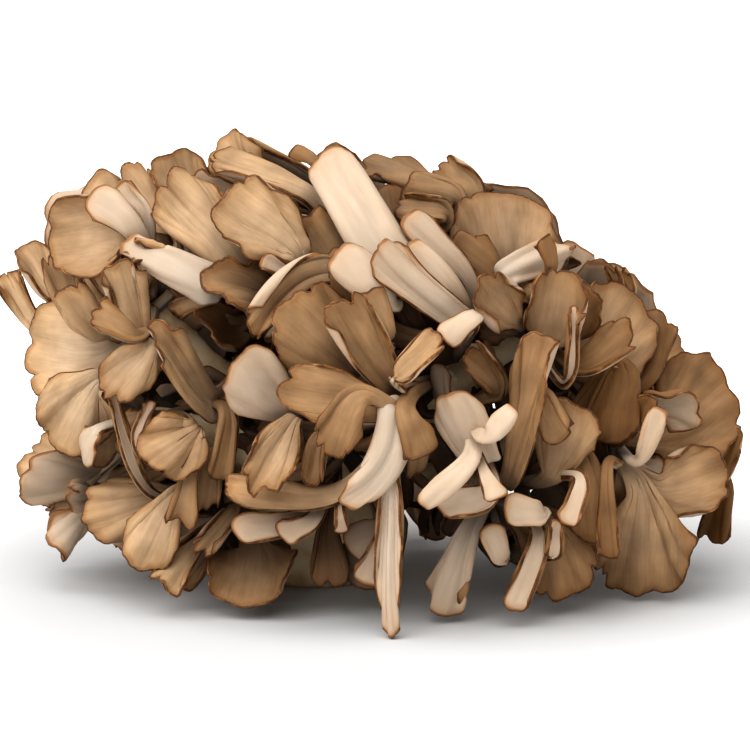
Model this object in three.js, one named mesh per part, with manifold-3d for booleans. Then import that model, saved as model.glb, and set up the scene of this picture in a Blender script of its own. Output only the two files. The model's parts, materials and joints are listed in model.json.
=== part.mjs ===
// A maitake (hen-of-the-woods) fruiting body, resting as it is set down on a table.
// One branched stem carries overlapping fronds: flat, spoon or funnel shaped caps, each on its own stalk.
// Millimetres, +Z up, the broad front towards -Y. The origin is the bottom centre of the whole mushroom.
import * as THREE from "three";
import { mergeVertices } from "three/addons/utils/BufferGeometryUtils.js";
import Module from "manifold-3d";

// Driving dimensions.
const RIM_THICKNESS = 2.4; // flesh at a frond's rim
const STALK_THICKNESS = 5; // flesh where a frond leaves the stem
const CLEARANCE = 0.8; // air at a frond's foot; between neighbouring fronds there is at least half of it
const FLOOR_GAP = 0.2; // the lowest a frond may hang above the surface it rests on
const RIM_ARC = 200; // degrees of round end that a frond's rim goes through
const RIM_SQUARENESS = 0.75; // 1 is a round end, less than that has fuller corners, and more is pointed
const RIM_END = 0.6; // share of a frond's width that its round end is long
const LOBE_DEPTH = 0.05; // share of the round end by which lobes cut into it
const RUFFLE = 1.3; // how far a frond's rim waves out of its sheet
const CELLS_ACROSS = 6; // facets of a frond from side to side
const CELLS_ALONG = 6; // facets of a frond from its foot to its rim
const STALK_CELLS = 2; // of which these are on its stalk
const TRUNK_PLACE = new THREE.Vector3(-25, 8, 0);
const TRUNK_BASE_RADIUS = 27; // the cut face under the stem
const TRUNK_RADIUS = 33;
const TRUNK_HEIGHT = 66;
const BRANCH_ROOT = new THREE.Vector3(-15, 6, 40); // where the branches part inside the trunk
const BRANCH_BASE_RADIUS = 13;
const BRANCH_TIP_RADIUS = 5.5;
const BACK_DEPTH = 0.9; // the back is a little flatter than the front
const BACK_DROP = 0.36; // how far its top falls away, as a share of its depth
const CROWN_HEIGHT = 190; // of the mushroom's top
const BACK_CELLS_ACROSS = 4; // the clusters of the back have larger facets
const BACK_LEAST_WIDTH = 20; // the narrowest fronds that the clusters of the back repeat

const CAP_SKIN = new THREE.MeshStandardMaterial({ color: "#b08b62", roughness: 0.62, metalness: 0 });
const PORE_FACE = new THREE.MeshStandardMaterial({ color: "#dcc7a8", roughness: 0.7, metalness: 0 });
const STEM_FLESH = new THREE.MeshStandardMaterial({ color: "#e8dcc6", roughness: 0.75, metalness: 0 });

const FRONT = [0, -1, 0.25]; // the way most fronds of the broad front turn their open side
const SKYWARD = [0, -0.35, 1];

// Tips of the stem's branches on the front half. The back half has the same ones.
const BRANCHES = {
  upper_left: [-88, -20, 118],
  left: [-90, -20, 72],
  low_left: [-60, -24, 40],
  left_centre: [-40, -30, 108],
  low_centre: [-18, -36, 68],
  top: [2, -26, 124],
  right_centre: [30, -34, 92],
  upper_right: [60, -26, 108],
  right: [86, -18, 70],
  low_right: [52, -28, 46],
};

// One frond: its neck, where the stalk widens; the middle of its rim; its width; the side that shows.
// turn rolls it about its own length, cup curls its edges towards the open side (or away, below zero),
// taper is the neck's share of the width, and lobes cuts its rim. slant makes one side longer than the
// other by that share of half the width, and bend bows its middle aside by the like share. end and
// squareness change how its tip is rounded. Angles are in degrees.
const frond = (name, neck, tip, width, { looks = FRONT, ...more } = {}) => ({
  name,
  neck: new THREE.Vector3(...neck),
  tip: new THREE.Vector3(...tip),
  looks: new THREE.Vector3(...looks),
  width,
  shows: "cap",
  turn: 0,
  cup: 25,
  taper: 0.3,
  lobes: 2,
  slant: 0,
  bend: 0,
  end: RIM_END,
  squareness: RIM_SQUARENESS,
  ...more,
});

const LEFT_FRONDS = [
  frond("left_dish_fan", [-98, -42, 150], [-130, -34, 147], 40, { cup: 45, lobes: 3 }),
  frond("upper_left_tongue", [-56, -50, 143], [-85, -44, 174], 28, { cup: -20, taper: 0.6 }),
  frond("cream_hook", [-64, -62, 137], [-98, -66, 156], 12, { shows: "pore", taper: 1.5, cup: -40 }),
  frond("top_left_lobe", [-75, -8, 153], [-84, -4, 177], 26, { turn: 20, lobes: 3 }),
  frond("top_pale_lobe", [-46, -18, 161], [-64, -6, 183], 24, { turn: -25, lobes: 2 }),
  frond("left_curl", [-127, -6, 117], [-142, 2, 138], 20, { turn: 35, cup: 60 }),
  frond("left_round_fan", [-109, -40, 110], [-123, -54, 131], 18, { cup: -30 }),
  frond("flower_upper_lobe", [-93, -55, 114], [-102, -72, 147], 19, { taper: 0.4, cup: 30 }),
  frond("flower_lower_lobe", [-90, -66, 109], [-107, -74, 92], 24, { cup: -25 }),
  frond("left_great_fan", [-110, -28, 101], [-142, -10, 100], 44, { cup: 20, lobes: 4 }),
  frond("left_lower_fan", [-110, -42, 91], [-127, -34, 62], 34, { cup: -20, lobes: 4 }),
  frond("ruffled_ribbon", [-64, -62, 86], [-88, -84, 122], 18, { turn: 40, taper: 0.8, cup: 50 }),
  frond("star_fan", [-115, -8, 46], [-145, 10, 46], 26, { cup: 25, lobes: 5 }),
  frond("left_foot_curl", [-115, -2, 34], [-130, 14, 18], 18, { cup: 75 }),
  frond("scalloped_fan", [-70, -74, 82], [-89, -88, 71], 27, { cup: 20, lobes: 4 }),
  frond("lower_left_fan", [-82, -44, 44], [-117, -48, 36], 27, { cup: -20, lobes: 3 }),
  frond("lower_left_front_fan", [-78, -62, 50], [-95, -74, 22], 21, { cup: 20, lobes: 3 }),
  frond("left_finger", [-134, -6, 104], [-151, 0, 127], 7, { taper: 0.8, cup: 60, lobes: 1 }),
  frond("floor_lobe", [-62, -48, 35], [-85, -56, 14], 21, { cup: 30 }),
];

const CENTRE_FRONDS = [
  frond("great_cream_tongue", [10, -72, 136], [-21, -48, 187], 24, {
    shows: "pore", taper: 0.85, cup: -15, lobes: 1, squareness: 0.9,
  }),
  frond("brow_fan", [-30, -60, 145], [-60, -56, 170], 32, { cup: 25, lobes: 3 }),
  frond("dark_funnel", [-40, -48, 126], [-64, -64, 136], 24, { cup: 110 }),
  frond("crescent_frond", [-20, -68, 142], [-50, -86, 120], 15, {
    turn: -20, taper: 0.9, cup: 50, bend: 0.6,
  }),
  frond("centre_tan_fan", [-6, -72, 103], [-35, -90, 133], 34, { cup: 15, lobes: 3 }),
  frond("forked_frond", [9, -82, 97], [-15, -102, 138], 21, { taper: 0.5, lobes: 2, cup: 10 }),
  frond("long_cream_tongue", [36, -72, 120], [1, -88, 155], 14, {
    shows: "pore", taper: 0.8, cup: -20, lobes: 1, bend: -0.3,
  }),
  frond("top_back_sheet", [27, -18, 161], [-5, -4, 172], 22, { looks: SKYWARD, cup: 30 }),
  frond("top_ribbon", [-25, -34, 164], [-66, -22, 179], 18, { looks: SKYWARD, taper: 0.6, cup: 30 }),
  frond("round_cream_fan", [-33, -78, 86], [-55, -100, 110], 28, { shows: "pore", cup: -20, lobes: 4 }),
  frond("rolled_fan_upper", [2, -94, 91], [-38, -106, 103], 23, { turn: 10, taper: 0.5, cup: 30 }),
  frond("rolled_fan_lower", [5, -100, 88], [-17, -114, 56], 17, {
    shows: "pore", taper: 1.1, cup: -30, lobes: 1, bend: -0.8, end: 1, squareness: 1,
  }),
  frond("folded_frond", [-35, -86, 86], [-51, -104, 61], 24, { turn: -20, cup: 50 }),
  frond("bottom_bowl", [-48, -50, 25], [-53, -74, 5], 44, { looks: SKYWARD, cup: 60, lobes: 3 }),
  frond("hanging_blade", [6, -96, 68], [7, -103, 0], 14, {
    shows: "pore", turn: 15, taper: 0.25, cup: 30, lobes: 1, bend: 0.3, end: 3, squareness: 1.6,
  }),
  frond("underside_fan", [8, -58, 40], [-10, -62, 13], 24, { shows: "pore", cup: -20, lobes: 3 }),
];

const RIGHT_FRONDS = [
  frond("crown_fan", [54, -42, 135], [50, -30, 167], 42, { cup: 25, lobes: 4, slant: -0.2 }),
  frond("white_knob", [52, -60, 138], [80, -46, 147], 14, {
    shows: "pore", taper: 0.8, cup: -50, lobes: 1,
  }),
  frond("frilled_fan", [55, -58, 126], [38, -68, 148], 24, { cup: 70, lobes: 3 }),
  frond("brown_trumpet", [69, -58, 110], [75, -68, 142], 30, { cup: 80, lobes: 3 }),
  frond("right_upper_sheet", [81, -40, 96], [105, -20, 122], 38, { turn: 10, cup: 30, lobes: 3 }),
  frond("far_right_fan", [107, 10, 83], [127, 26, 92], 24, { cup: -20, lobes: 3 }),
  frond("cream_star", [43, -86, 68], [28, -104, 98], 20, {
    shows: "pore", turn: -20, taper: 0.7, cup: -30,
  }),
  frond("tall_trumpet", [55, -78, 62], [68, -86, 119], 23, { turn: -40, taper: 0.4, cup: 80 }),
  frond("right_lobed_fan", [70, -68, 58], [79, -76, 89], 25, { cup: 20, lobes: 2 }),
  frond("right_great_fan", [113, -20, 63], [143, -8, 83], 46, { cup: 20, lobes: 3, slant: -0.25 }),
  frond("lower_right_side_fan", [113, -42, 48], [141, -34, 53], 34, { cup: 40, lobes: 3 }),
  frond("lower_right_foot_fan", [107, -50, 48], [108, -42, 2], 37, { cup: 35, lobes: 3 }),
  frond("right_foot_fan", [69, -60, 36], [77, -66, 8], 27, { cup: -20, lobes: 3 }),
  frond("foot_cream_frond", [38, -74, 38], [26, -82, 4], 16, { shows: "pore", taper: 0.5, cup: -20 }),
];

const reflected = (v) => {
  const depth = v.y * BACK_DEPTH;
  return new THREE.Vector3(v.x, -depth, v.z - (BACK_DROP * Math.abs(depth) * v.z) / CROWN_HEIGHT);
};

// A front frond as its fellow of the back has it: as far behind the middle as the front one is before it.
const behind = (front) => ({
  ...front,
  neck: reflected(front.neck),
  tip: reflected(front.tip),
  looks: front.looks.clone().setY(-front.looks.y),
  turn: -front.turn,
});

const BRANCH_TIPS = Object.entries(BRANCHES).map(([name, place]) => {
  return { name, tip: new THREE.Vector3(...place) };
});

// The branch whose tip is nearest to a front frond's neck.
const branchOf = (front) =>
  BRANCH_TIPS.reduce((a, b) => (b.tip.distanceTo(front.neck) < a.tip.distanceTo(front.neck) ? b : a));

// Where a frond's stalk begins: just off the end of its branch.
function stalkFoot(branchTip, neck) {
  const outwards = neck.clone().sub(branchTip).normalize();
  return branchTip.clone().addScaledVector(outwards, BRANCH_TIP_RADIUS + CLEARANCE);
}

const ease = (t) => t * t * (3 - 2 * t);

// The place of a point of a frond's flat pattern: x across, y along its middle line from the foot. Its
// stalk widens to the neck, rays fan out from there, and the rim goes round their ends in an arc.
function flatPattern(spec, stalk, blade, across, along, stalkShare) {
  const half = spec.width / 2;
  const neckHalf = half * spec.taper;
  if (along <= stalkShare) {
    const t = along / stalkShare;
    return [neckHalf * across * (0.5 + 0.5 * ease(t)), stalk * t];
  }
  const t = (along - stalkShare) / (1 - stalkShare);
  const roundEnd = Math.min(0.62 * blade, spec.end * spec.width);
  const angle = across * THREE.MathUtils.degToRad(RIM_ARC / 2);
  const lobe = 1 + LOBE_DEPTH * Math.cos(2 * Math.PI * spec.lobes * across);
  const sideways = Math.sign(across) * Math.abs(Math.sin(angle)) ** spec.squareness;
  const forward = roundEnd * (Math.cos(angle) * lobe - 1) + spec.slant * half * sideways;
  const rim = [half * sideways, blade + forward];
  const reached = THREE.MathUtils.clamp((rim[1] * t) / blade, 0, 1);
  const bow = spec.bend * half * 4 * reached * (1 - reached);
  return [THREE.MathUtils.lerp(neckHalf * across, rim[0], t) + bow, stalk + rim[1] * t];
}

// A frond as a closed sheet: a box whose layers are laid out to the flat pattern, then bent along the
// stalk's curve, cupped across it and ruffled at the rim.
function frondGeometry(spec, foot, cellsAcross, extra = 0) {
  const spine = new THREE.CatmullRomCurve3([foot, spec.neck, spec.tip], false, "centripetal");
  const length = spine.getLength();
  const reach = foot.distanceTo(spec.neck);
  const stalk = (length * reach) / (reach + spec.neck.distanceTo(spec.tip));
  const stalkShare = STALK_CELLS / CELLS_ALONG;
  const cup = THREE.MathUtils.degToRad(spec.cup) / (spec.width / 2);

  const rimWay = spine.getTangentAt(1);
  const side = rimWay.clone().cross(spec.looks).normalize();
  side.applyAxisAngle(rimWay, THREE.MathUtils.degToRad(spec.turn));

  const geometry = new THREE.BoxGeometry(2, 1, 2, cellsAcross, CELLS_ALONG, 1);
  const at = geometry.attributes.position;
  for (let i = 0; i < at.count; i++) {
    const across = at.getX(i);
    const along = at.getY(i) + 0.5;
    const face = at.getZ(i);
    const [sideways, forward] = flatPattern(spec, stalk, length - stalk, across, along, stalkShare);

    const share = THREE.MathUtils.clamp(forward / length, 0, 1);
    const tangent = spine.getTangentAt(share);
    const lateral = side.clone().addScaledVector(tangent, -side.dot(tangent)).normalize();
    const normal = lateral.clone().cross(tangent);

    const curvature = cup * Math.max(along, 0.01);
    const curl = curvature * sideways;
    const ruffle = RUFFLE * Math.sin(2 * Math.PI * spec.lobes * across + spec.width) * ease(along);
    const thickness = THREE.MathUtils.lerp(STALK_THICKNESS, RIM_THICKNESS, ease(along)) + extra;
    const outOfSheet = normal.clone().multiplyScalar(Math.cos(curl));
    outOfSheet.addScaledVector(lateral, -Math.sin(curl));
    const point = spine
      .getPointAt(share)
      .addScaledVector(lateral, Math.sin(curl) / curvature)
      .addScaledVector(normal, (1 - Math.cos(curl)) / curvature)
      .addScaledVector(outOfSheet, (face * thickness) / 2 + ruffle);
    at.setXYZ(i, point.x, point.y, point.z);
  }
  return closed(geometry);
}

// A geometry with its faces' shared corners joined, as a solid needs.
function closed(geometry) {
  geometry.deleteAttribute("normal");
  geometry.deleteAttribute("uv");
  return mergeVertices(geometry, 1e-3);
}

const wasm = await Module();
wasm.setup();

const solidOf = (geometry) =>
  new wasm.Manifold(
    new wasm.Mesh({
      numProp: 3,
      vertProperties: Float32Array.from(geometry.attributes.position.array),
      triVerts: Uint32Array.from(geometry.index.array),
    }),
  );

function geometryOf(solid) {
  const { vertProperties, triVerts } = solid.getMesh();
  return new THREE.BufferGeometry()
    .setAttribute("position", new THREE.BufferAttribute(vertProperties, 3))
    .setIndex(new THREE.BufferAttribute(triVerts, 1));
}

// The trunk, with its flat cut face underneath, and the branches that part from it.
function stemSolid() {
  const profile = new THREE.SplineCurve([
    new THREE.Vector2(TRUNK_BASE_RADIUS, 0),
    new THREE.Vector2(TRUNK_RADIUS, TRUNK_HEIGHT * 0.3),
    new THREE.Vector2(TRUNK_RADIUS * 0.9, TRUNK_HEIGHT * 0.7),
    new THREE.Vector2(TRUNK_RADIUS * 0.5, TRUNK_HEIGHT * 0.95),
  ]).getPoints(6);
  const outline = [new THREE.Vector2(0, 0), ...profile, new THREE.Vector2(0, TRUNK_HEIGHT)];
  const trunk = new THREE.LatheGeometry(outline, 14).rotateX(Math.PI / 2);
  trunk.translate(TRUNK_PLACE.x, TRUNK_PLACE.y, TRUNK_PLACE.z);
  let stem = solidOf(closed(trunk));
  for (const tip of BRANCH_TIPS.flatMap((b) => [b.tip, reflected(b.tip)])) {
    const reach = tip.distanceTo(BRANCH_ROOT);
    const arm = new THREE.CylinderGeometry(BRANCH_TIP_RADIUS, BRANCH_BASE_RADIUS, reach, 7, 1);
    arm.translate(0, reach / 2, 0);
    const way = tip.clone().sub(BRANCH_ROOT).normalize();
    arm.applyQuaternion(new THREE.Quaternion().setFromUnitVectors(new THREE.Vector3(0, 1, 0), way));
    arm.translate(BRANCH_ROOT.x, BRANCH_ROOT.y, BRANCH_ROOT.z);
    stem = stem.add(solidOf(closed(arm)));
  }
  return stem;
}

const apart = (a, b) =>
  a.max[0] < b.min[0] || b.max[0] < a.min[0] ||
  a.max[1] < b.min[1] || b.max[1] < a.min[1] ||
  a.max[2] < b.min[2] || b.max[2] < a.min[2];

// Grows a frond into free space. A crowded one leans aside and rolls, little by little, until it fits, and
// one that may part from its branch begins further along its stalk.
const MOST_TRIES = 120;
const LEAN_STEP = 1.8; // mm that a frond's place moves out with the square root of its tries
const GOLDEN_ANGLE = Math.PI * (3 - Math.sqrt(5));
const DEPTH_ANGLE = 1.7; // radians of the slower swing that moves it in and out

function grow(spec, branchTip, cellsAcross, stalkStarts, neighbours) {
  const foot = stalkFoot(branchTip, spec.neck);
  for (let attempt = 0; attempt < MOST_TRIES; attempt++) {
    const lean = LEAN_STEP * Math.sqrt(attempt);
    const shift = new THREE.Vector3(
      lean * Math.cos(attempt * GOLDEN_ANGLE),
      lean * Math.sin(attempt * DEPTH_ANGLE) * Math.sign(spec.tip.y || 1),
      lean * Math.sin(attempt * GOLDEN_ANGLE),
    );
    const moved = {
      ...spec,
      neck: spec.neck.clone().addScaledVector(shift, 0.7),
      tip: spec.tip.clone().add(shift),
      turn: spec.turn + (attempt % 3) * (attempt % 2 ? 8 : -8),
    };
    for (const start of stalkStarts) {
      const from = foot.clone().lerp(moved.neck, start);
      const wide = frondGeometry(moved, from, cellsAcross, CLEARANCE);
      wide.computeBoundingBox();
      const sink = Math.max(0, FLOOR_GAP + CLEARANCE / 2 - wide.boundingBox.min.z);
      const room = solidOf(wide.translate(0, 0, sink));
      const box = room.boundingBox();
      if (neighbours.some((n) => !apart(n.box, box) && !n.solid.intersect(room).isEmpty())) continue;
      return solidOf(frondGeometry(moved, from, cellsAcross).translate(0, 0, sink));
    }
  }
  return null;
}

const named = (name, solid, material) => ({ name, solid, box: solid.boundingBox(), material });
const grown = [named("stem", stemSolid(), STEM_FLESH)];

// The fronds of the front, each a piece that tears off at its foot.
const FRONT_FRONDS = [...CENTRE_FRONDS, ...RIGHT_FRONDS, ...LEFT_FRONDS];
const STALK_STARTS = [0, 0.3, 0.6, 0.85];
for (const spec of FRONT_FRONDS) {
  const solid = grow(spec, branchOf(spec).tip, CELLS_ACROSS, STALK_STARTS, grown);
  if (!solid) throw new Error(`${spec.name} finds no room to grow`);
  grown.push(named(spec.name, solid, spec.shows === "pore" ? PORE_FACE : CAP_SKIN));
}

// The clusters of the back: the wider fronds again, those of one branch grown together at their feet.
for (const { name, tip } of BRANCH_TIPS) {
  const branchTip = reflected(tip);
  let cluster = null;
  for (const spec of FRONT_FRONDS.filter((f) => f.width >= BACK_LEAST_WIDTH && branchOf(f).tip === tip)) {
    const solid = grow(behind(spec), branchTip, BACK_CELLS_ACROSS, [0], grown);
    if (!solid) continue;
    const joined = cluster ? cluster.add(solid) : solid;
    if (joined.decompose().length === 1) cluster = joined;
  }
  if (cluster) grown.push(named(`back_${name}_fronds`, cluster, CAP_SKIN));
}

const mushroom = new THREE.Group();
for (const { name, solid, material } of grown) {
  const mesh = new THREE.Mesh(geometryOf(solid), material);
  mesh.name = name;
  mushroom.add(mesh);
}

// The origin goes to the middle of the mushroom's footprint, at its lowest point.
const extent = new THREE.Box3().setFromObject(mushroom);
const middle = extent.getCenter(new THREE.Vector3());
mushroom.position.set(-middle.x, -middle.y, -extent.min.z);

export default mushroom;
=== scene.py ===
import itertools
import json
import math
import random

import bmesh
import bpy
import numpy as np
from mathutils import Matrix, Vector, noise
from mathutils.bvhtree import BVHTree


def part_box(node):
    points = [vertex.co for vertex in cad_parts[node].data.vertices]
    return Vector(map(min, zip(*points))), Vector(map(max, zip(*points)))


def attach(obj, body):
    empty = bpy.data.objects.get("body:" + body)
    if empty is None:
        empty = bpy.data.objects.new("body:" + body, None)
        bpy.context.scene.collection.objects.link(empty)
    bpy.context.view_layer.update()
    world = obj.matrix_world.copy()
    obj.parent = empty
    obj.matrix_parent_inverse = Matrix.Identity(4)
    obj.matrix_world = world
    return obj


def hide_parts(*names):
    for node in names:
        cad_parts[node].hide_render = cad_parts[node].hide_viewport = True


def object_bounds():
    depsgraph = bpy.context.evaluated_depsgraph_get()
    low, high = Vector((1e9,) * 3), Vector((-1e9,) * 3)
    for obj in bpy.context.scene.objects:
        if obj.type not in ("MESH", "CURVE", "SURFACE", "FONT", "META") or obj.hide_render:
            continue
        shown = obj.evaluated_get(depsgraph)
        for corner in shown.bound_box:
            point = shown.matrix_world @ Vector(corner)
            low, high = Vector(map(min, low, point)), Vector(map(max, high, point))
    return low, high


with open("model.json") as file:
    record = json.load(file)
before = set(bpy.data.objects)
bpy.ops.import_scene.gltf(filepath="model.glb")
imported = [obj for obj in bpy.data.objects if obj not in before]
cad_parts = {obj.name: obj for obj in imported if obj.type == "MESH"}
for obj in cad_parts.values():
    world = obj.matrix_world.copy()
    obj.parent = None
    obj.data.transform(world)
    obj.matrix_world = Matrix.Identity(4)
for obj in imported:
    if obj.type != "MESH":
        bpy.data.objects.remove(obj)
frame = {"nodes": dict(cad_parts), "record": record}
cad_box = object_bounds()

MM = 0.001
CAD_CELLS = 6  # cells each way in a sheet of the frame's fronds
MID = CAD_CELLS // 2  # the middle one of a row's points

FLESH_AT_FOOT = 4.6 * MM
FLESH_AT_RIM = 1.8 * MM
RIM_SWELL = 0.3 * MM  # how far the rim's middle line stands out
FLOOR_GAP = 0.4 * MM
BACK_DEPTH = 0.9  # the back is a little flatter than the front
BACK_DROP = 0.36  # how far its top falls away, as a share of its depth
FOLD_WAVES = (24, 12, 4.5)  # mm from one fold of a rim to the next: large, middling and fine
FOLD_HEIGHTS = (2.0, 1.1, 0.3)  # mm that they stand out, before the ruffle
RUFFLE = {"cap": (0.6, 1.3), "pore": (0.3, 0.6)}  # times that, by the side that a frond shows
RAGGED_MM = {"cap": (0.6, 1.2), "pore": (0.3, 0.6)}  # how far an outline waves
ROLL_MM = (-2.0, 3.5)  # how far a rim is turned down
TEARS = (0, 1, 2, 3)  # the cuts that a rim may have, where a frond shows its cap
TEAR_WIDTH_MM = (0.7, 1.8)
TEAR_DEPTH_MM = (1.2, 4.0)
RIM_ARC = math.radians(200)  # of round end that the rim of a lesser frond goes through
RIM_SQUARENESS = 0.75  # 1 is a round end, and less than that has fuller corners
LARGE_CELLS = (44, 38)  # across and along, on the fronds of the front
SMALL_CELLS = (22, 20)  # on the others
PROBE_CELLS = (7, 8)  # points across and along the rough sheets that find free room
PROBE_HALF = 1.5 * MM  # half their thickness
OUTLINE_EVERY = 5  # one in so many of those points is looked for inside the outline
OUTLINE_STEP = 4  # degrees of the steps in which the mushroom's outline is kept
STALK_SHARE = 0.38  # of a frond's length, where fronds of one foot may be grown together
NUDGE = 1.6 * MM  # the step by which a lesser frond looks for room, forwards and backwards
NUDGES = 14  # the places that it tries
BACK_TRIES = 10  # the ways that a frond of the back is turned before it is left out
SMALL_FRONDS_EACH = 4
SMALL_TRIES = 14
SMALL_OLDER = 0.15  # how much older than their neighbours the small fronds of the front look
SHELL_FRONDS_TRIED = 1600
SHELL_FRONT = -0.3  # the mushroom's front, further forward than this, has its own fronds
SHELL_FALL = 1.35  # how far down from straight up the directions tried go, where 1 is level
SHELL_FOOT = 0.3  # of the way from the heart to the outside, where they spring from
SHELL_NECK = (0.66, 0.84)  # and where they bend
SHELL_TOP_LEAN = 0.25  # how much nearer the heart they stand at the top of the back
SHELL_REACH_MM = (22, 38)
SHELL_WIDTH_MM = (18, 32)
SHELL_RISE = 8 * MM  # how far their rims stand out past their necks
GOLDEN_STEP = 3 - math.sqrt(5)  # half turns from each direction to the next, which spreads them evenly

STEM_VOXEL = 2 * MM
STEM_LUMP = 14 * MM
STEM_RELIEF = 1.2 * MM
STEM_SMOOTHINGS = 5

CAP, PORE, RIM = range(3)  # material slots of a frond
CAP_FIBRE_MM = 0.9
PORE_MM = 0.7
FLESH_IOR = 1.42

KEY_STRENGTH = 3.45
KEY_SPREAD = 80  # degrees across, as a large softbox looks from the mushroom
KEY_FROM = (-0.4, -0.55, 1.0)
FILL_STRENGTH = 0.6
FILL_SPREAD = 110
FILL_FROM = (0.9, 0.7, 0.7)
ROOM_LIGHT = 0.28
FLOOR_HALF = 12  # metres, as are the next two
FLOOR_PAINTED_SHADOW_WITHIN = 0.14
FLOOR_PAINTED_SHADOW_TO = 0.32
CAMERA_LENS = 414
CAMERA_LIFT = 12  # degrees that it looks down
CAMERA_AWAY = 3.5  # metres
CAMERA_AT = (0.0029, 0.0072, 0.0852)

low_corner, high_corner = (Vector(corner) for corner in cad_box)
HEART = Vector((0, 0, 0.38 * high_corner.z))  # where the fronds grow outwards from
HEART_REACH = 0.72  # of the mushroom's height, that the painted shade of its heart reaches up
HEART_DARK_TO = 0.48  # of the way out from the heart, where its painted shade begins to fade
HEART_CLEAR_FROM = 0.90  # and where it ends
PAINTED_SHADE_DEPTH = 0.92  # of the painted shade's own colour, in the heart
OPEN_WAY = np.array((0, -1, 0.5))  # the way most fronds of the front turn their open side
VIEW_WAY = np.array((0, -1, 0.2))  # and the way the pore face turns, where a front frond shows it


# Shapes

def steps_from(starts):
    """How many edges away from the starting points each point of their mesh is."""
    steps = dict.fromkeys(starts, 0)
    reached = list(starts)
    for vert in reached:
        for edge in vert.link_edges:
            other = edge.other_vert(vert)
            if other not in steps:
                steps[other] = steps[vert] + 1
                reached.append(other)
    return steps


def strip_between(pair, other_pair):
    """The points on the straight strip, one cell thick, that joins two corners of a sheet."""
    near, far = steps_from(pair), steps_from(other_pair)
    return [vert for vert in near if near[vert] + far[vert] == CAD_CELLS]


def middle_sheet(node, open_way):
    """The middle surface of a frond of the frame: rows of points from foot to rim, open side to open_way.

    A frond of the frame is a closed sheet of CAD_CELLS by CAD_CELLS cells. Only its eight corners join
    other than six edges, and each corner of the sheet is a pair of them, one on either face.
    """
    bm = bmesh.new()
    bm.from_mesh(node.data)
    bmesh.ops.remove_doubles(bm, verts=bm.verts, dist=1e-6)
    corners = [vert for vert in bm.verts if len(vert.link_edges) != 6]
    pairs = [
        (a, b) for a, b in itertools.combinations(corners, 2)
        if any(edge.other_vert(a) is b for edge in a.link_edges)
    ]
    foot_left, foot_right = min(itertools.combinations(pairs, 2), key=lambda two: gap_between(*two))
    rim = [pair for pair in pairs if pair not in (foot_left, foot_right)]
    rim_left = min(rim, key=lambda pair: gap_between(pair, foot_left) - gap_between(pair, foot_right))
    row_of = steps_from(strip_between(foot_left, foot_right))
    column_of = steps_from(strip_between(foot_left, rim_left))
    rows = np.zeros((CAD_CELLS + 1, CAD_CELLS + 1, 3))
    for vert in bm.verts:
        rows[row_of[vert], column_of[vert]] += np.array(vert.co) / 2
    bm.free()
    across = rows[-2, -1] - rows[-2, 0]
    along = rows[-1, MID] - rows[0, MID]
    return rows if np.cross(across, along) @ open_way > 0 else rows[:, ::-1]


def gap_between(pair, other_pair):
    """The distance between the middles of two pairs of points."""
    return ((pair[0].co + pair[1].co) / 2 - (other_pair[0].co + other_pair[1].co) / 2).length


def control_weights(places, count):
    """What each of a row's control points weighs in a smooth curve through them, at places from 0 to 1."""
    spots = places * (count - 1)
    cells = np.clip(np.floor(spots), 0, count - 2).astype(int)
    t = spots - cells
    basis = np.stack([
        -t + 2 * t**2 - t**3,
        2 - 5 * t**2 + 3 * t**3,
        t + 4 * t**2 - 3 * t**3,
        -t**2 + t**3,
    ]) / 2
    table = np.zeros((len(places), count + 2))
    for k in range(4):
        table[np.arange(len(places)), cells + k] += basis[k]
    weights = table[:, 1:-1].copy()
    for end, inside in ((0, 1), (-1, -2)):  # past its ends the row goes on straight
        weights[:, end] += 2 * table[:, end]
        weights[:, inside] -= table[:, end]
    return weights


def waves(x, luck, counts, size):
    """A wavy line of that size over x from -1 to 1, from so many half waves each, shifted by luck."""
    return sum(
        size * luck.uniform(0.5, 1) * np.sin(math.pi * count * x / 2 + luck.uniform(0, 6.3))
        for count in counts
    )


def unit(vectors):
    """Vectors of the same directions, one long."""
    return vectors / np.maximum(np.linalg.norm(vectors, axis=-1, keepdims=True), 1e-12)


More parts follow.
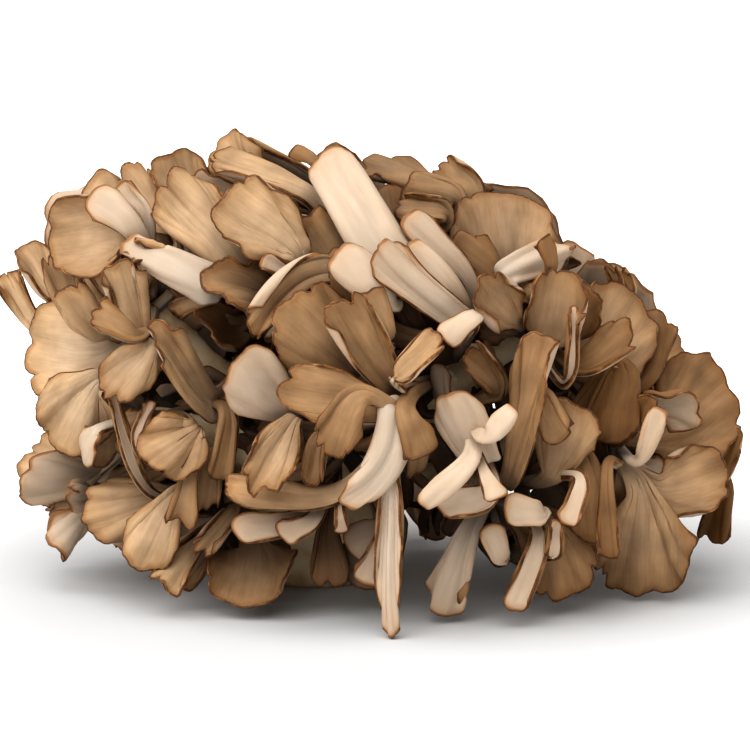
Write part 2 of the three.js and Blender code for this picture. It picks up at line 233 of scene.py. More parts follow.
def fine_sheet(rows, cells, luck, ruffle, roll, tears, ragged_size):
    """A frond's two faces over its control rows, and where each of their points lies on it.

    ruffle waves the rim out of the sheet and roll turns it down over the far side, both in millimetres;
    tears is the number of cuts into it, and ragged_size is how far its outline waves. The last result is
    across, along and distance to the rim, in millimetres.
    """
    v, t = np.meshgrid(np.linspace(-1, 1, cells[0] + 1), np.linspace(0, 1, cells[1] + 1))
    across, side = v[0], np.abs(v)
    spine_mm = path_length(rows[:, MID]) / MM
    rim_mm = path_length(rows[-1]) / MM
    folds = [2 * rim_mm / wave for wave in FOLD_WAVES]

    ragged = waves(across, luck, folds[:2], ragged_size) + waves(across, luck, folds[2:], 0.3 * ragged_size)
    for _ in range(tears):
        tear, width = luck.uniform(-0.6, 0.6), luck.uniform(*TEAR_WIDTH_MM) / rim_mm * 2
        ragged -= luck.uniform(*TEAR_DEPTH_MM) * np.exp(-(((across - tear) / width) ** 2))
    u = t + ragged / spine_mm * t**3
    along_weights = control_weights(u.ravel(), len(rows)).reshape(*u.shape, -1)
    across_weights = control_weights((across + 1) / 2, rows.shape[1])
    middle = np.einsum("jia,ib,abc->jic", along_weights, across_weights, rows)
    spine = middle[:, cells[0] // 2][:, None]
    middle = spine + (middle - spine) * (1 + waves(2 * t - 1, luck, (2.3, 4.1), 0.045) * t)[..., None]

    way_across, way_along = np.gradient(middle, axis=1), np.gradient(middle, axis=0)
    normal = unit(np.cross(way_across, way_along))
    half_width = np.linalg.norm(way_across, axis=-1).sum(axis=1, keepdims=True) / 2
    length = np.linalg.norm(way_along, axis=-1).sum(axis=0, keepdims=True)
    large, middling, fine = (waves(across, luck, [n], size) for n, size in zip(folds, FOLD_HEIGHTS))
    swell = waves(v + 0.9 * t, luck, (1.7,), 0.9) + waves(v - 1.3 * t, luck, (2.6,), 0.6)
    down = np.clip((t - 0.66) / 0.34, 0, 1) ** 2 + 0.5 * np.clip((side - 0.65) / 0.35, 0, 1) ** 2 * t
    out = ruffle * ((large + middling) * t**2.6 + swell * t + fine * t**2) - roll * down
    middle = middle + normal * out[..., None] * MM

    normal = unit(np.cross(np.gradient(middle, axis=1), np.gradient(middle, axis=0)))
    flesh = FLESH_AT_FOOT + (FLESH_AT_RIM - FLESH_AT_FOOT) * t ** 0.7
    flesh = flesh * (1 - 0.5 * np.clip((np.maximum(side, t) - 0.84) / 0.16, 0, 1) ** 2)
    half = normal * flesh[..., None] / 2
    from_rim = np.minimum((1 - t) * length, (1 - side) * half_width + 0.4 * length * (1 - t) ** 2)
    lay = np.stack([v * half_width, t * length, from_rim], axis=-1) / MM
    return middle + half, middle - half, lay


def path_length(points):
    """The length of a line through points."""
    return np.linalg.norm(np.diff(points, axis=0), axis=-1).sum()


def grid_face(bm, points, lay, tone, flip):
    """One face of a frond: a grid whose points go to their places, and keep how they lie on it."""
    rows, columns = points.shape[:2]
    made = bmesh.ops.create_grid(bm, x_segments=columns - 1, y_segments=rows - 1, size=1)["verts"]
    lay_layer = bm.verts.layers.float_vector["lay"]
    tone_layer = bm.verts.layers.float["tone"]
    for vert in made:
        i = round((vert.co.x + 1) / 2 * (columns - 1))
        j = round((vert.co.y + 1) / 2 * (rows - 1))
        vert.co = points[j, i]
        vert[lay_layer] = lay[j, i]
        vert[tone_layer] = tone
    faces = list(dict.fromkeys(face for vert in made for face in vert.link_faces))
    if flip:
        bmesh.ops.reverse_faces(bm, faces=faces)
    edges = dict.fromkeys(edge for vert in made for edge in vert.link_edges if edge.is_boundary)
    return faces, list(edges)


def add_frond(bm, rows, cells, luck, tone, shows="cap"):
    """Adds a fine frond to a piece: its open face, its far face, and the rim that joins them."""
    rim_line = bm.verts.layers.float["rim_line"]
    ruffle = luck.uniform(*RUFFLE[shows])
    roll = luck.uniform(*ROLL_MM)
    tears = luck.choice(TEARS) if shows == "cap" else 0
    ragged_size = luck.uniform(*RAGGED_MM[shows])
    open_points, far_points, lay = fine_sheet(rows, cells, luck, ruffle, roll, tears, ragged_size)
    open_faces, open_edges = grid_face(bm, open_points, lay, tone, flip=False)
    far_faces, far_edges = grid_face(bm, far_points, lay, tone, flip=True)
    rim = bmesh.ops.bridge_loops(bm, edges=open_edges + far_edges)
    cross = [edge for edge in rim["edges"] if edge.is_valid]
    middle = bmesh.ops.subdivide_edges(bm, edges=cross, cuts=1)["geom_inner"]
    open_skin, far_skin = (CAP, PORE) if shows == "cap" else (PORE, CAP)
    for face in open_faces:
        face.material_index = open_skin
    for face in far_faces:
        face.material_index = far_skin
    for vert in middle:
        if isinstance(vert, bmesh.types.BMVert):
            vert[rim_line] = 1
            for face in vert.link_faces:
                face.material_index = RIM


def along_spine(spine, share):
    """Points on a smooth curve through a spine's three points, at shares of the way along it."""
    weights = control_weights(share.ravel(), len(spine)).reshape(*share.shape, -1)
    return np.einsum("ijk,kc->ijc", weights, spine)


def sketched(foot, neck, tip, width, looks, taper=0.4, cup=20, turn=0):
    """The control rows of a lesser frond, from its foot by its neck to its rim. Angles are in degrees."""
    steps = np.linspace(0, 1, CAD_CELLS + 1)
    share, across = np.meshgrid(steps, 2 * steps - 1, indexing="ij")
    spine = np.array([foot, neck, tip])
    length = np.linalg.norm(spine[1] - spine[0]) + np.linalg.norm(spine[2] - spine[1])
    blade = np.clip((share - STALK_SHARE) / (1 - STALK_SHARE), 0, 1)
    angle = across * RIM_ARC / 2
    rim_side = np.sign(across) * np.abs(np.sin(angle)) ** RIM_SQUARENESS
    end = min(0.55 * width, 0.35 * length)
    stalk_side = taper * across * (0.5 + 0.5 * np.clip(share / STALK_SHARE, 0, 1))
    sideways = width / 2 * (stalk_side * (1 - blade) + rim_side * blade)
    place = share - end / length * (1 - np.cos(angle)) * blade
    centre = along_spine(spine, place)
    along = unit(along_spine(spine, place + 0.01) - along_spine(spine, place - 0.01))
    lateral = unit(np.cross(along, looks))
    turn = math.radians(turn)
    lateral = lateral * math.cos(turn) + np.cross(along, lateral) * math.sin(turn)
    normal = np.cross(lateral, along)
    curvature = math.radians(cup) / (width / 2) * np.maximum(share, 0.01)
    curl = curvature * sideways
    out, up = np.sin(curl) / curvature, (1 - np.cos(curl)) / curvature
    return centre + (lateral * out[..., None] + normal * up[..., None])


def turned(points, pivot, axis, angle):
    """Points turned about an axis through a pivot."""
    turn = np.array(Matrix.Rotation(angle, 3, Vector(axis)))
    return (points - pivot) @ turn.T + pivot


def beside(rows, swing, lean, size, width):
    """A frond that springs from the same foot as another: swung aside, leant back and of another size."""
    foot = rows[0, MID]
    across = unit(rows[-2, -1] - rows[-2, 0])
    along = unit(rows[-1, MID] - foot)
    facing = unit(np.cross(across, along))
    spine = rows[:, MID][:, None]
    made = spine + (rows - spine) * width
    made = foot + (made - foot) * size
    made = turned(made, foot, across, lean)
    return turned(made, foot, facing, swing)


def through_the_mushroom(rows):
    """A front frond's fellow on the back, which is a little flatter and stands lower."""
    made = (rows * np.array((1, -BACK_DEPTH, 1)))[:, ::-1]
    made[..., 2] -= BACK_DROP * np.abs(made[..., 1]) * made[..., 2] / high_corner.z
    return made


class FreeRoom:
    """What the fronds so far fill, and the outline that the frame's fronds reach."""

    def __init__(self, sheets):
        self.placed = []
        self.reach = {}
        for rows in sheets:
            for point in rows.reshape(-1, 3):
                for bin_, radius in self.seen_from_heart(point):
                    self.reach[bin_] = max(self.reach.get(bin_, 0), radius)

    def seen_from_heart(self, point):
        """The outline's angles that a point may widen or test, in the front view, and its distance."""
        x, z = point[0], point[2] - HEART.z
        angle = math.degrees(math.atan2(z, x))
        middle = round(angle / OUTLINE_STEP)
        count = round(360 / OUTLINE_STEP)
        return [((middle + k) % count, math.hypot(x, z)) for k in (-1, 0, 1)]

    def inside_outline(self, points):
        """Whether the front view's outline holds all of the points that are looked at."""
        for point in points[::OUTLINE_EVERY]:
            bin_, radius = self.seen_from_heart(point)[1]
            if radius > self.reach.get(bin_, 0):
                return False
        return True

    def probe(self, rows):
        """A rough copy of a frond's two faces, past its stalk, each so far from its middle."""
        u = np.linspace(STALK_SHARE, 1, PROBE_CELLS[1])
        v = np.linspace(0, 1, PROBE_CELLS[0])
        along_weights = control_weights(u, len(rows))
        across_weights = control_weights(v, rows.shape[1])
        middle = np.einsum("ja,ib,abc->jic", along_weights, across_weights, rows)
        normal = unit(np.cross(np.gradient(middle, axis=1), np.gradient(middle, axis=0)))
        faces = (middle + normal * PROBE_HALF, middle - normal * PROBE_HALF)
        points = np.concatenate([face.reshape(-1, 3) for face in faces])
        columns = PROBE_CELLS[0]
        quads = []
        for layer in (0, columns * PROBE_CELLS[1]):
            for j, i in itertools.product(range(PROBE_CELLS[1] - 1), range(columns - 1)):
                a = layer + j * columns + i
                quads.append((a, a + 1, a + 1 + columns, a + columns))
        return points, BVHTree.FromPolygons(points.tolist(), quads)

    def fits(self, rows, inside=True):
        """Whether a frond clears the floor and all others, and keeps inside the outline if it has to."""
        points, tree = self.probe(rows)
        low, high = points.min(axis=0), points.max(axis=0)
        if low[2] < FLOOR_GAP or inside and not self.inside_outline(points):
            return False
        for other_low, other_high, other in self.placed:
            if (low < other_high).all() and (other_low < high).all() and tree.overlap(other):
                return False
        return True

    def take(self, rows):
        """Fills a frond's room."""
        points, tree = self.probe(rows)
        self.placed.append((points.min(axis=0), points.max(axis=0), tree))


def new_piece(name, materials, fill):
    """An object whose mesh the function fill makes, which rides with the mushroom."""
    bm = bmesh.new()
    bm.verts.layers.float_vector.new("lay")
    bm.verts.layers.float.new("tone")
    bm.verts.layers.float.new("rim_line")
    fill(bm)
    bm.normal_update()
    rim_line = bm.verts.layers.float["rim_line"]
    for vert in bm.verts:
        vert.co += vert.normal * RIM_SWELL * vert[rim_line]
        vert.co.z = max(vert.co.z, 0)
    for face in bm.faces:
        face.smooth = True
    mesh = bpy.data.meshes.new(name)
    bm.to_mesh(mesh)
    bm.free()
    for material in materials:
        mesh.materials.append(material)
    piece = bpy.data.objects.new(name, mesh)
    bpy.context.scene.collection.objects.link(piece)
    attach(piece, "root")
    return piece


# Materials

def linear(hex_colour):
    """An sRGB hex colour as linear red, green, blue and alpha."""
    channels = [int(hex_colour[i:i + 2], 16) / 255 for i in (1, 3, 5)]
    return [c / 12.92 if c <= 0.04045 else ((c + 0.055) / 1.055) ** 2.4 for c in channels] + [1]


def add(tree, kind, inputs=None, stops=(), **settings):
    """Adds a node with its settings. An input is a value or the output that feeds it. Stops fill a ramp."""
    node = tree.nodes.new(kind)
    for key, value in settings.items():
        setattr(node, key, value)
    for key, value in (inputs or {}).items():
        if isinstance(value, bpy.types.NodeSocket):
            tree.links.new(value, node.inputs[key])
        else:
            node.inputs[key].default_value = value
    for k, (place, colour) in enumerate(stops):
        element = node.color_ramp.elements[k] if k < 2 else node.color_ramp.elements.new(place)
        element.position = place
        element.color = linear(colour)
    return node


def flesh_material(name, roughness):
    """A material and the sockets that the mushroom's skins read: the place on a frond, and its tone."""
    material = bpy.data.materials.new(name)
    material.use_nodes = True
    tree = material.node_tree
    tree.nodes.clear()
    shader = add(tree, "ShaderNodeBsdfPrincipled", {"Roughness": roughness, "IOR": FLESH_IOR})
    add(tree, "ShaderNodeOutputMaterial", {"Surface": shader.outputs["BSDF"]})
    lay = add(tree, "ShaderNodeAttribute", attribute_name="lay").outputs["Vector"]
    tone = add(tree, "ShaderNodeAttribute", attribute_name="tone").outputs["Fac"]
    parts = add(tree, "ShaderNodeSeparateXYZ", {0: lay})
    across, along, rim = parts.outputs
    length = add(tree, "ShaderNodeMath", {0: along, 1: rim}, operation="ADD").outputs[0]
    length = add(tree, "ShaderNodeMath", {0: length, 1: 1.0}, operation="MAXIMUM").outputs[0]
    share = add(tree, "ShaderNodeMath", {0: along, 1: length}, operation="DIVIDE").outputs[0]
    return material, tree, shader, across, along, rim, share, tone


def fibres(tree, across, along, tone, thick, long):
    """Noise drawn out along the frond: fibres so many millimetres thick and long."""
    x = add(tree, "ShaderNodeMath", {0: across, 1: 1 / thick}, operation="MULTIPLY").outputs[0]
    y = add(tree, "ShaderNodeMath", {0: along, 1: 1 / long}, operation="MULTIPLY").outputs[0]
    z = add(tree, "ShaderNodeMath", {0: tone, 1: 91.0}, operation="MULTIPLY").outputs[0]
    place = add(tree, "ShaderNodeCombineXYZ", {0: x, 1: y, 2: z}).outputs[0]
    return add(tree, "ShaderNodeTexNoise", {"Vector": place, "Scale": 1.0, "Detail": 4.0}).outputs["Fac"]


def cap_skin():
    """The dry upper skin of the caps: matte tan, with fibres that run to a darker, ragged rim."""
    material, tree, shader, across, along, rim, share, tone = flesh_material("cap_skin_dry_fibrous", 0.62)
    coordinates = add(tree, "ShaderNodeTexCoord").outputs["Object"]
    fine = fibres(tree, across, along, tone, CAP_FIBRE_MM, 14)
    broad = fibres(tree, across, along, tone, 4.5, 30)
    cloud = add(tree, "ShaderNodeTexNoise", {"Vector": coordinates, "Scale": 1 / (16 * MM), "Detail": 3.0})

    young = add(tree, "ShaderNodeValToRGB", {0: share}, stops=[
        (0.0, "#e2dad0"), (1.0, "#b3926c"), (0.35, "#d6c6b1"), (0.7, "#c6ac8e"),
    ]).outputs[0]
    old = add(tree, "ShaderNodeValToRGB", {0: share}, stops=[
        (0.0, "#c2a178"), (1.0, "#71502a"), (0.35, "#a57e50"), (0.7, "#8f683b"),
    ]).outputs[0]
    colour = add(tree, "ShaderNodeMix", {0: tone, 6: young, 7: old}, data_type="RGBA").outputs[2]
    streak = add(tree, "ShaderNodeMapRange", {0: fine, 1: 0.35, 2: 0.65, 3: 0.94, 4: 1.04}).outputs[0]
    patch = add(tree, "ShaderNodeMapRange", {0: broad, 1: 0.3, 2: 0.7, 3: 0.90, 4: 1.08}).outputs[0]
    mottle = {0: cloud.outputs["Fac"], 1: 0.35, 2: 0.7, 3: 1.12, 4: 0.76}
    mottle = add(tree, "ShaderNodeMapRange", mottle).outputs[0]
    light = add(tree, "ShaderNodeMath", {0: streak, 1: patch}, operation="MULTIPLY").outputs[0]
    light = add(tree, "ShaderNodeMath", {0: light, 1: mottle}, operation="MULTIPLY").outputs[0]
    grey = add(tree, "ShaderNodeCombineXYZ", {0: light, 1: light, 2: light}).outputs[0]
    colour = add(
        tree, "ShaderNodeMix", {0: 1.0, 6: colour, 7: grey}, data_type="RGBA", blend_type="MULTIPLY",
    ).outputs[2]
    colour = rim_stain(tree, colour, rim, broad, "#865d34", 4.2, 0.55)
    colour = rim_stain(tree, colour, rim, fine, "#4a2d16", 1.0, 0.85)
    # painted shade, darker towards the mushroom's heart
    colour = painted_heart_shade(tree, colour, coordinates)
    tree.links.new(colour, shader.inputs["Base Color"])
    relief = add(tree, "ShaderNodeMix", {0: 0.45, 2: fine, 3: broad}).outputs[0]
    bump = add(tree, "ShaderNodeBump", {"Strength": 0.55, "Distance": 0.6 * MM, "Height": relief})
    tree.links.new(bump.outputs[0], shader.inputs["Normal"])
    return material


def painted_heart_shade(tree, colour, coordinates):
    """A colour with painted shade: sunk into dark brown towards the heart of the mushroom, where its fronds
    crowd.
    """
    above = HEART_REACH * high_corner.z
    depth = add(tree, "ShaderNodeMapping", {
        "Vector": coordinates,
        "Location": (0, 0, -HEART.z / above),
        "Scale": (1 / high_corner.x, 1 / high_corner.y, 1 / above),
    }).outputs[0]
    depth = add(tree, "ShaderNodeVectorMath", {0: depth}, operation="LENGTH").outputs["Value"]
    shade = add(
        tree, "ShaderNodeMapRange",
        {0: depth, 1: HEART_DARK_TO, 2: HEART_CLEAR_FROM, 3: PAINTED_SHADE_DEPTH, 4: 0.0},
        interpolation_type="SMOOTHSTEP",
    ).outputs[0]
    # painted shade: the brown that stands in for the shadow deep between the fronds
    painted_shade_brown = linear("#341c06")
    return add(tree, "ShaderNodeMix", {0: shade, 6: colour, 7: painted_shade_brown}, data_type="RGBA").outputs[2]


def rim_stain(tree, colour, rim, ragged, stain, width, depth):
    """Colour that a stain takes over within about width millimetres of the rim, along a ragged line."""
    edge = {0: ragged, 1: 0.3, 2: 0.7, 3: 0.35 * width, 4: 1.5 * width}
    edge = add(tree, "ShaderNodeMapRange", edge).outputs[0]
    share = add(tree, "ShaderNodeMath", {0: rim, 1: edge}, operation="DIVIDE").outputs[0]
    near = add(
        tree, "ShaderNodeMapRange", {0: share, 1: 0.3, 2: 1.0, 3: depth, 4: 0.0},
        interpolation_type="SMOOTHSTEP",
    ).outputs[0]
    return add(tree, "ShaderNodeMix", {0: near, 6: colour, 7: linear(stain)}, data_type="RGBA").outputs[2]


def pore_face():
    """The underside: cream and velvety, of pores too fine to see, drawn at twice their size."""
    material, tree, shader, across, along, rim, share, tone = flesh_material("pore_face_cream", 0.72)
    coordinates = add(tree, "ShaderNodeTexCoord").outputs["Object"]
    broad = fibres(tree, across, along, tone, 5, 24)
    cloud = add(tree, "ShaderNodeTexNoise", {"Vector": coordinates, "Scale": 1 / (22 * MM), "Detail": 3.0})
    pores = add(tree, "ShaderNodeTexVoronoi", {"Vector": coordinates, "Scale": 1 / (PORE_MM * MM)})
    pale = add(tree, "ShaderNodeValToRGB", {0: share}, stops=[
        (0.0, "#d3cdc5"), (1.0, "#bca690"), (0.5, "#c7bbac"),
    ]).outputs[0]
    tan = add(tree, "ShaderNodeValToRGB", {0: share}, stops=[
        (0.0, "#cbbca6"), (1.0, "#a68560"), (0.5, "#bba182"),
    ]).outputs[0]
    shade = {0: cloud.outputs["Fac"], 1: 0.35, 2: 0.7, 3: -0.1, 4: 0.45}
    shade = add(tree, "ShaderNodeMapRange", shade).outputs[0]
    shade = add(tree, "ShaderNodeMath", {0: shade, 1: tone, 2: 0.1}, operation="MULTIPLY_ADD").outputs[0]
    colour = add(tree, "ShaderNodeMix", {0: shade, 6: pale, 7: tan}, data_type="RGBA").outputs[2]
    streak = add(tree, "ShaderNodeMapRange", {0: broad, 1: 0.3, 2: 0.7, 3: 0.9, 4: 1.06}).outputs[0]
    grey = add(tree, "ShaderNodeCombineXYZ", {0: streak, 1: streak, 2: streak}).outputs[0]
    colour = add(
        tree, "ShaderNodeMix", {0: 1.0, 6: colour, 7: grey}, data_type="RGBA", blend_type="MULTIPLY",
    ).outputs[2]
    colour = rim_stain(tree, colour, rim, broad, "#a67d52", 4.0, 0.4)
    colour = rim_stain(tree, colour, rim, cloud.outputs["Fac"], "#845a31", 1.6, 0.8)
    # painted shade, darker towards the mushroom's heart
    colour = painted_heart_shade(tree, colour, coordinates)
    tree.links.new(colour, shader.inputs["Base Color"])
    relief = add(tree, "ShaderNodeMix", {0: 0.7, 2: pores.outputs["Distance"], 3: broad}).outputs[0]
    bump = add(tree, "ShaderNodeBump", {"Strength": 0.3, "Distance": 0.4 * MM, "Height": relief})
    tree.links.new(bump.outputs[0], shader.inputs["Normal"])
    return material


def rim_flesh():
    """The rim: dried and bruised brown, in blotches, where the fronds were touched and knocked."""
    material, tree, shader, _, _, _, share, _ = flesh_material("rim_bruised_brown", 0.6)
    coordinates = add(tree, "ShaderNodeTexCoord").outputs["Object"]
    blotch = add(tree, "ShaderNodeTexNoise", {"Vector": coordinates, "Scale": 1 / (5 * MM), "Detail": 4.0})
    colour = add(tree, "ShaderNodeValToRGB", {0: blotch.outputs["Fac"]}, stops=[
        (0.3, "#452a14"), (0.75, "#a67c4e"), (0.52, "#6b4624"),
    ]).outputs[0]
    pale = add(tree, "ShaderNodeMapRange", {0: share, 1: 0.25, 2: 0.6, 3: 1.0, 4: 0.0}).outputs[0]
    fresh = linear("#dcc6a4")
    colour = add(tree, "ShaderNodeMix", {0: pale, 6: colour, 7: fresh}, data_type="RGBA").outputs[2]
    # painted shade, darker towards the mushroom's heart
    colour = painted_heart_shade(tree, colour, coordinates)
    tree.links.new(colour, shader.inputs["Base Color"])
    bump = add(tree, "ShaderNodeBump", {
        "Strength": 0.4, "Distance": 0.5 * MM, "Height": blotch.outputs["Fac"],
    })
    tree.links.new(bump.outputs[0], shader.inputs["Normal"])
    return material


def stem_flesh():
    """The stem's firm flesh: off-white, matte and faintly lumpy, browner in patches."""
    material = bpy.data.materials.new("stem_flesh_off_white")
    material.use_nodes = True
    tree = material.node_tree
    shader = tree.nodes["Principled BSDF"]
    shader.inputs["Roughness"].default_value = 0.75
    coordinates = add(tree, "ShaderNodeTexCoord").outputs["Object"]
    cloud = add(tree, "ShaderNodeTexNoise", {"Vector": coordinates, "Scale": 1 / (14 * MM), "Detail": 5.0})
    colour = add(tree, "ShaderNodeValToRGB", {0: cloud.outputs["Fac"]}, stops=[
        (0.3, "#e6d8c0"), (0.75, "#b7976b"), (0.5, "#d8c2a0"),
    ]).outputs[0]
    tree.links.new(colour, shader.inputs["Base Color"])
    bump = add(tree, "ShaderNodeBump", {
        "Strength": 0.5, "Distance": 1 * MM, "Height": cloud.outputs["Fac"],
    })
    tree.links.new(bump.outputs[0], shader.inputs["Normal"])
    return material


# Assembly

CREAM_FRONDS = {
    row["node"] for row in frame["record"]["subparts"] if row["material_slot"] == "pore_face"
}


def tone_of(rows, luck, older=0.0):
    """How old and brown a frond is: the mushroom's left is paler than its right, partly browner fronds and
    partly painted shade, away from the light on the left.
    """
    side = rows[-1, MID][0] / high_corner.x
    # the side term: partly older, browner fronds, partly painted shade on the right
    return min(max(0.46 + 0.26 * side + luck.uniform(-0.18, 0.18) + older, 0.02), 0.98)


def lesser(name, mother, neck, tip, width, shows="cap", cup=20, turn=0, older=0):
    """A lesser frond, in mm and degrees. Its places are from the middle of the rim of its mother, a frond
    of the frame whose foot it shares."""
    return name, mother, np.array(neck), np.array(tip), width, shows, cup, turn, older


